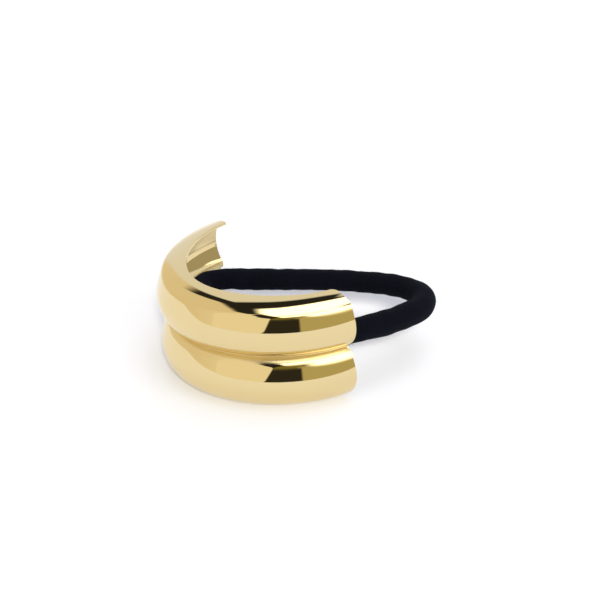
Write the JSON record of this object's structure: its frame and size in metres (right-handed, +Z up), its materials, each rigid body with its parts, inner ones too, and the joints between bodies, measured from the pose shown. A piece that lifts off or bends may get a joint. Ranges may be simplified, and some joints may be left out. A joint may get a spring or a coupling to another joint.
{
  "type": "hair tie with a metal ponytail cuff",
  "caption": "Polished gold-plated half-ring ponytail cuff with domed ribs, standing on its rim, and a black fabric-covered elastic loop held behind it.",
  "frame": {"origin": "on the floor under the middle of the cuff's box, at the lower rim's height", "axes": "+Z up along the ring's axis, +Y towards the open side and the elastic loop, +X to the right seen from the front"},
  "size_m": [0.0486, 0.0494, 0.0221],
  "materials": {
    "plated_brass": "polished gold plate",
    "elastic_cover": "matt knitted cover"
  },
  "bodies": {
    "root": {"cuff": "plated_brass", "elastic": "elastic_cover"}
  },
  "joints": []
}
